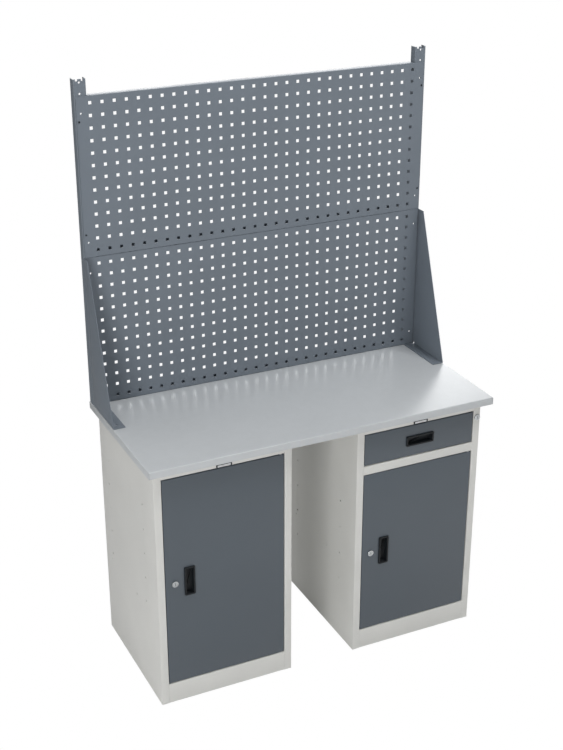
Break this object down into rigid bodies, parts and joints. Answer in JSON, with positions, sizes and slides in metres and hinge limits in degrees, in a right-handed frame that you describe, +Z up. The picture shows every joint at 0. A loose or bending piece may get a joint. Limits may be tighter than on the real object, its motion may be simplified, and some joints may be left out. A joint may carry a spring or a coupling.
{
  "type": "workbench with cabinets and tool screen",
  "caption": "Steel workshop bench with door cabinets, a drawer, a metal-covered worktop and a perforated tool screen on uprights with sloping side brackets.",
  "frame": {"origin": "on the floor, under the middle of the bench's outline", "axes": "+X to the right seen from the user, +Y to the back, +Z up"},
  "size_m": [1.2, 0.545, 1.918],
  "materials": {
    "light_paint": "light grey powder coat",
    "slate_paint": "slate grey powder coat",
    "screen_paint": "blue-grey powder coat",
    "cover_steel": "galvanised sheet, satin",
    "board": "bare fibre board",
    "black_plastic": "moulded black, satin",
    "chrome": "bright chrome",
    "zinc_steel": "zinc plated"
  },
  "bodies": {
    "bench": {"worktop_cover": "cover_steel", "worktop_board": "board", "left_cabinet_left_side": "light_paint", "left_cabinet_right_side": "light_paint", "left_cabinet_back": "light_paint", "left_cabinet_floor": "light_paint", "left_cabinet_plinth": "light_paint", "left_cabinet_top_rail": "light_paint", "left_cabinet_shelf": "light_paint", "left_cabinet_shelf_support_left": "zinc_steel", "left_cabinet_shelf_support_right": "zinc_steel", "left_name_plate": "black_plastic", "right_cabinet_left_side": "light_paint", "right_cabinet_right_side": "light_paint", "right_cabinet_back": "light_paint", "right_cabinet_floor": "light_paint", "right_cabinet_plinth": "light_paint", "right_cabinet_top_rail": "light_paint", "right_cabinet_mid_rail": "light_paint", "right_cabinet_shelf": "light_paint", "right_cabinet_shelf_support_left": "zinc_steel", "right_cabinet_shelf_support_right": "zinc_steel", "right_name_plate": "black_plastic", "drawer_runner_bracket_left": "light_paint", "drawer_runner_bracket_right": "light_paint", "drawer_runner_fixed_left": "zinc_steel", "drawer_runner_fixed_right": "zinc_steel", "drawer_lock_housing": "chrome", "drawer_lock_nut": "zinc_steel", "left_upright": "screen_paint", "right_upright": "screen_paint", "lower_panel": "screen_paint", "upper_panel": "screen_paint", "left_bracket": "screen_paint", "right_bracket": "screen_paint"},
    "left_door": {"left_door_panel": "slate_paint", "left_door_pull": "black_plastic", "left_door_lock_housing": "chrome", "left_door_lock_nut": "zinc_steel", "left_door_lower_pin": "zinc_steel", "left_door_upper_pin": "zinc_steel"},
    "right_door": {"right_door_panel": "slate_paint", "right_door_pull": "black_plastic", "right_door_lock_housing": "chrome", "right_door_lock_nut": "zinc_steel", "right_door_lower_pin": "zinc_steel", "right_door_upper_pin": "zinc_steel"},
    "left_door_lock": {"left_door_lock_plug": "chrome"},
    "right_door_lock": {"right_door_lock_plug": "chrome"},
    "drawer": {"drawer_front": "slate_paint", "drawer_box": "light_paint", "drawer_pull": "black_plastic", "drawer_runner_inner_left": "zinc_steel", "drawer_runner_inner_right": "zinc_steel"},
    "drawer_runner_middles": {"drawer_runner_middle_left": "zinc_steel", "drawer_runner_middle_right": "zinc_steel"},
    "drawer_lock": {"drawer_lock_plug": "chrome"}
  },
  "joints": [
    {"name": "left_door_hinge", "type": "hinge", "parent": "bench", "child": "left_door", "pos_m": [-0.1535, -0.2325, 0.44325], "axis": [0, 0, 1], "range_deg": [0, 110]},
    {"name": "right_door_hinge", "type": "hinge", "parent": "bench", "child": "right_door", "pos_m": [0.5385, -0.2325, 0.37025], "axis": [0, 0, 1], "range_deg": [0, 110]},
    {"name": "left_door_lock_turn", "type": "hinge", "parent": "left_door", "child": "left_door_lock", "pos_m": [-0.518, -0.238, 0.44325], "axis": [0, -1, 0], "range_deg": [0, 90]},
    {"name": "right_door_lock_turn", "type": "hinge", "parent": "right_door", "child": "right_door_lock", "pos_m": [0.174, -0.238, 0.37025], "axis": [0, -1, 0], "range_deg": [0, 90]},
    {"name": "drawer_slide", "type": "slide", "parent": "bench", "child": "drawer", "axis": [0, -1, 0], "range_m": [0, 0.4]},
    {"name": "drawer_runner_slide", "type": "slide", "parent": "bench", "child": "drawer_runner_middles", "axis": [0, -1, 0], "range_m": [0, 0.2]},
    {"name": "drawer_lock_turn", "type": "hinge", "parent": "bench", "child": "drawer_lock", "pos_m": [0.5635, -0.238, 0.79], "axis": [0, -1, 0], "range_deg": [0, 90]}
  ],
  "couplings": [
    {"joint": "drawer_runner_slide", "follows": "drawer_slide", "ratio": 0.5}
  ]
}
